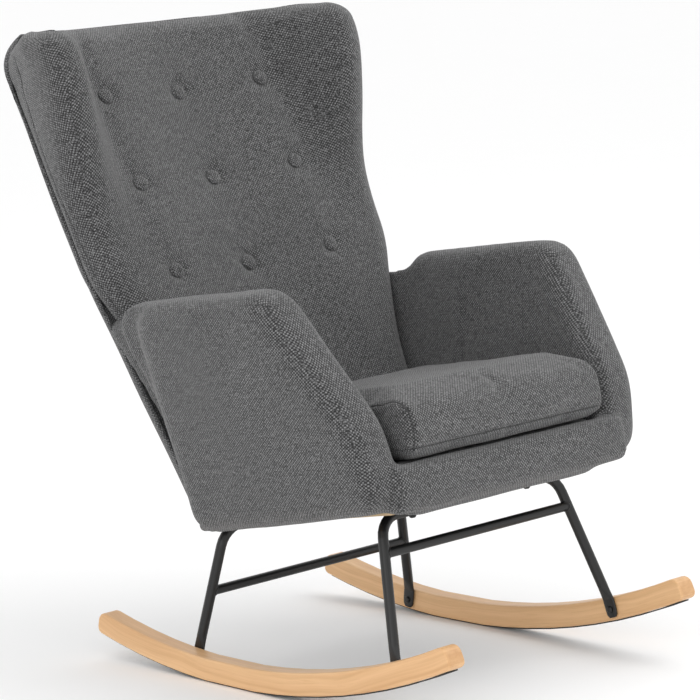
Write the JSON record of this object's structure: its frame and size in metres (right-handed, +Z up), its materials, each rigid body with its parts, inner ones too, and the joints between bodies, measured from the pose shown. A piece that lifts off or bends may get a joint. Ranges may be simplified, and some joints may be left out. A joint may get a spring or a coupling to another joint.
{
  "type": "rocking chair",
  "caption": "Upholstered wing rocking chair with a button-tufted back, padded arms and a loose seat cushion, on bent-tube leg frames bolted to wooden rockers.",
  "frame": {"origin": "on the floor, under the middle of the chair's width and of its whole length", "axes": "+Z up; the sitter faces -Y; +X is the sitter's left-hand side"},
  "size_m": [0.6822, 0.95, 1.0092],
  "materials": {
    "rocker_wood": "clear satin lacquer on light hardwood",
    "frame_timber": "raw sawn timber and plywood",
    "strip_rubber": "matt black",
    "black_steel": "satin black powder coat",
    "zinc_plate": "zinc plated",
    "grey_linen": "coarse mid-grey linen-look weave over foam",
    "deck_pad": "thin lining cloth over foam",
    "elastic_webbing": "elastic webbing",
    "dust_lining": "thin black non-woven lining"
  },
  "bodies": {
    "chair": {"rocker_left": "rocker_wood", "rocker_right": "rocker_wood", "rocker_strip_left": "strip_rubber", "rocker_strip_right": "strip_rubber", "rocker_insert_front_left": "zinc_plate", "rocker_insert_front_right": "zinc_plate", "rocker_insert_rear_left": "zinc_plate", "rocker_insert_rear_right": "zinc_plate", "rocker_bolt_front_left": "black_steel", "rocker_bolt_front_right": "black_steel", "rocker_bolt_rear_left": "black_steel", "rocker_bolt_rear_right": "black_steel", "front_leg_frame": "black_steel", "rear_leg_frame": "black_steel", "front_stretcher": "black_steel", "rear_stretcher": "black_steel", "frame_bolt_front_left": "black_steel", "frame_bolt_front_right": "black_steel", "frame_bolt_rear_left": "black_steel", "frame_bolt_rear_right": "black_steel", "tee_nut_front_left": "zinc_plate", "tee_nut_front_right": "zinc_plate", "tee_nut_rear_left": "zinc_plate", "tee_nut_rear_right": "zinc_plate", "seat_side_rail_left": "frame_timber", "seat_side_rail_right": "frame_timber", "seat_front_rail": "frame_timber", "seat_rear_rail": "frame_timber", "seat_leg_slat": "frame_timber", "seat_web_1": "elastic_webbing", "seat_web_2": "elastic_webbing", "seat_web_3": "elastic_webbing", "dust_cover": "dust_lining", "seat_deck_pad": "deck_pad", "front_apron_pad": "grey_linen", "rear_base_pad": "grey_linen", "arm_board_left": "frame_timber", "arm_board_right": "frame_timber", "arm_pad_outer_left": "grey_linen", "arm_pad_outer_right": "grey_linen", "arm_pad_inner_left": "grey_linen", "arm_pad_inner_right": "grey_linen", "back_board": "frame_timber", "back_pad_front": "grey_linen", "back_pad_rear": "grey_linen", "wing_board_left": "frame_timber", "wing_board_right": "frame_timber", "wing_pad_left": "grey_linen", "wing_pad_right": "grey_linen", "back_button_1": "grey_linen", "back_button_2": "grey_linen", "back_button_3": "grey_linen", "back_button_4": "grey_linen", "back_button_5": "grey_linen", "back_button_6": "grey_linen", "back_button_7": "grey_linen", "back_button_8": "grey_linen", "back_button_9": "grey_linen"},
    "cushion": {"seat_cushion": "grey_linen"}
  },
  "joints": [
    {"name": "cushion_lift", "type": "slide", "parent": "chair", "child": "cushion", "axis": [0, 0.1513, 0.9885], "range_m": [0, 0.12]}
  ]
}
